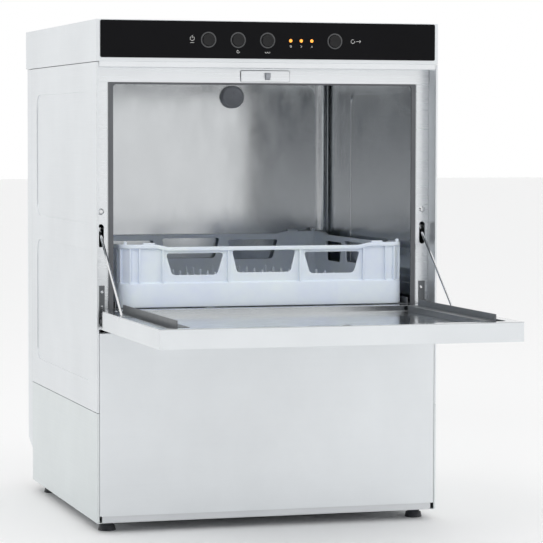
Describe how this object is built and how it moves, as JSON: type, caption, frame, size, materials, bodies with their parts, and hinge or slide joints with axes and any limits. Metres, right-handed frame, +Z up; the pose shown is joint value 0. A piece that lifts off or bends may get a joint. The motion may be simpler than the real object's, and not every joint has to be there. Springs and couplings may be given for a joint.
{
  "type": "glass washer",
  "caption": "Front-loading under-counter washer: steel body, drop-down door on stay rods, push-button panel, wash chamber with spinning arms and a sliding plastic basket.",
  "frame": {"origin": "on the floor, at the middle of the rectangle that the machine covers with its door open", "axes": "+Z up, the front with the door faces -Y, +X to the right as seen from the front"},
  "size_m": [0.595, 1.011, 0.85],
  "materials": {
    "body_steel": "satin",
    "panel_steel": "fine satin brush",
    "cover_steel": "satin, slightly darker",
    "bright_steel": "bright satin",
    "chamber_steel": "smooth rolled",
    "arm_steel": "polished",
    "chrome_wire": "polished",
    "fascia_gloss": "high gloss",
    "button_black": "gloss",
    "ring_grey": "satin",
    "lamp_amber": "translucent, lit",
    "board_green": "lacquered board",
    "seal_rubber": "matt",
    "rail_grey": "satin dark grey",
    "grey_plastic": "moulded",
    "foot_black": "moulded",
    "hose_black": "matt",
    "hose_clear": "milky",
    "valve_white": "moulded",
    "motor_blue": "semi-gloss paint",
    "basket_plastic": "smooth moulded, slightly translucent"
  },
  "bodies": {
    "machine": {"base_tray": "body_steel", "levelling_feet": "foot_black", "left_side_panel": "panel_steel", "right_side_panel": "panel_steel", "left_lower_cover": "cover_steel", "right_lower_cover": "cover_steel", "rear_panel": "body_steel", "rear_cover": "panel_steel", "lower_front_panel": "panel_steel", "top_housing": "panel_steel", "control_fascia": "fascia_gloss", "button_rings": "ring_grey", "indicator_lenses": "lamp_amber", "control_board": "board_green", "header_panel": "bright_steel", "catch_plate": "bright_steel", "left_post": "bright_steel", "right_post": "bright_steel", "door_seal": "seal_rubber", "wash_tub": "chamber_steel", "vent_cap": "grey_plastic", "chamber_rails": "rail_grey", "sump_tank": "chamber_steel", "tank_filter": "chamber_steel", "drain_pipe": "grey_plastic", "tank_heater": "arm_steel", "arm_spindle": "arm_steel", "pump_volute": "grey_plastic", "pump_motor": "motor_blue", "suction_elbow": "hose_black", "delivery_pipe": "hose_black", "boiler": "arm_steel", "boiler_element": "arm_steel", "inlet_valve": "valve_white", "fill_hose": "hose_clear", "rinse_hose": "hose_clear", "pressure_switch": "valve_white", "rinse_aid_pump": "grey_plastic", "cable_gland": "hose_black", "terminal_block": "valve_white", "hinge_brackets": "rail_grey", "hinge_pins": "chrome_wire", "stay_springs": "chrome_wire", "panel_screws": "chrome_wire"},
    "door": {"door_outer_panel": "panel_steel", "door_liner": "chamber_steel", "door_rails": "rail_grey", "hinge_blocks": "rail_grey", "stay_pins": "chrome_wire"},
    "basket": {"basket": "basket_plastic"},
    "power_button": {"power_button": "button_black"},
    "short_cycle_button": {"short_cycle_button": "button_black"},
    "long_cycle_button": {"long_cycle_button": "button_black"},
    "start_button": {"start_button": "button_black"},
    "latch": {"latch_tongue": "grey_plastic"},
    "wash_arm": {"wash_arm": "arm_steel"},
    "rinse_arm": {"rinse_arm": "arm_steel"},
    "overflow": {"overflow_pipe": "grey_plastic"},
    "left_stay": {"left_stay_rod": "chrome_wire"},
    "right_stay": {"right_stay_rod": "chrome_wire"}
  },
  "joints": [
    {"name": "door_hinge", "type": "hinge", "parent": "machine", "child": "door", "pos_m": [0, -0.0875, 0.352], "axis": [-1, 0, 0], "range_deg": [0, 90], "deforming": ["stay_springs"]},
    {"name": "left_stay_pivot", "type": "hinge", "parent": "door", "child": "left_stay", "pos_m": [-0.283, -0.2245, 0.366], "axis": [-1, 0, 0], "range_deg": [-48, 0]},
    {"name": "right_stay_pivot", "type": "hinge", "parent": "door", "child": "right_stay", "pos_m": [0.283, -0.2245, 0.366], "axis": [-1, 0, 0], "range_deg": [-48, 0]},
    {"name": "basket_slide", "type": "slide", "parent": "machine", "child": "basket", "axis": [0, 1, 0], "range_m": [-0.3, 0]},
    {"name": "power_button_press", "type": "slide", "parent": "machine", "child": "power_button", "axis": [0, 1, 0], "range_m": [0, 0.0025], "stiffness_N_per_m": 400},
    {"name": "short_cycle_button_press", "type": "slide", "parent": "machine", "child": "short_cycle_button", "axis": [0, 1, 0], "range_m": [0, 0.0025], "stiffness_N_per_m": 400},
    {"name": "long_cycle_button_press", "type": "slide", "parent": "machine", "child": "long_cycle_button", "axis": [0, 1, 0], "range_m": [0, 0.0025], "stiffness_N_per_m": 400},
    {"name": "start_button_press", "type": "slide", "parent": "machine", "child": "start_button", "axis": [0, 1, 0], "range_m": [0, 0.0025], "stiffness_N_per_m": 400},
    {"name": "latch_press", "type": "slide", "parent": "machine", "child": "latch", "axis": [0, 1, 0], "range_m": [0, 0.006], "stiffness_N_per_m": 500},
    {"name": "wash_arm_spin", "type": "hinge", "parent": "machine", "child": "wash_arm", "pos_m": [0, 0.1865, 0.334], "axis": [0, 0, 1], "continuous": true},
    {"name": "rinse_arm_spin", "type": "hinge", "parent": "machine", "child": "rinse_arm", "pos_m": [0, 0.1865, 0.349], "axis": [0, 0, 1], "continuous": true},
    {"name": "overflow_lift", "type": "slide", "parent": "machine", "child": "overflow", "axis": [0, 0, 1], "range_m": [0, 0.02]}
  ],
  "couplings": [
    {"joint": "left_stay_pivot", "follows": "door_hinge", "ratio": -0.53},
    {"joint": "right_stay_pivot", "follows": "door_hinge", "ratio": -0.53}
  ]
}
